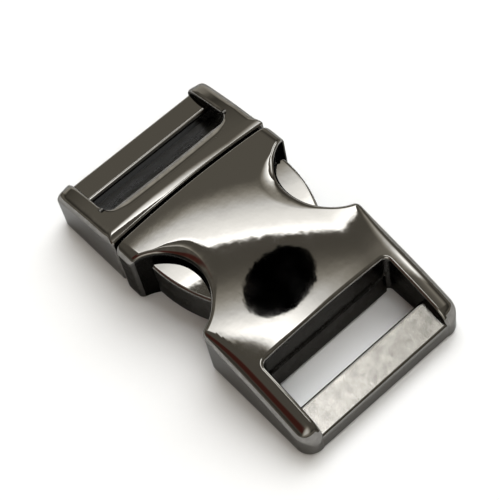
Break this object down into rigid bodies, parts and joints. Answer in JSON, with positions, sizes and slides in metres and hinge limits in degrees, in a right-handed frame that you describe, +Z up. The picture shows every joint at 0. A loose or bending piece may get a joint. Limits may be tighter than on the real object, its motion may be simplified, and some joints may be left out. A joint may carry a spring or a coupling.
{
  "type": "side release buckle",
  "caption": "Arched metal side-release buckle, shown fastened: plug and socket with strap bars, and hinged latch buttons in round thumb notches.",
  "frame": {"origin": "on the ground under the middle of the bounding box", "axes": "+X along the strap from the plug towards the socket's strap bar, +Y across the buckle to its left, +Z up out of the arched top"},
  "size_m": [0.0412, 0.022, 0.009],
  "materials": {
    "body_plating": "polished dark gunmetal plating over a zinc casting",
    "latch_plating": "polished dark gunmetal plating over a zinc casting",
    "pin_steel": "plain drawn steel"
  },
  "bodies": {
    "frame": {"socket": "body_plating", "plug": "body_plating", "pin_left": "pin_steel", "pin_right": "pin_steel"},
    "left_arm": {"latch_left": "latch_plating"},
    "right_arm": {"latch_right": "latch_plating"}
  },
  "joints": [
    {"name": "left_latch", "type": "hinge", "parent": "frame", "child": "left_arm", "pos_m": [-0.0106, 0.0056, 0.004], "axis": [0, 0, 1], "range_deg": [-9.5, 0], "stiffness_Nm_per_rad": 0.3, "springref_deg": 5.73},
    {"name": "right_latch", "type": "hinge", "parent": "frame", "child": "right_arm", "pos_m": [-0.0106, -0.0056, 0.004], "axis": [0, 0, 1], "range_deg": [0, 9.5], "stiffness_Nm_per_rad": 0.3, "springref_deg": -5.73}
  ]
}
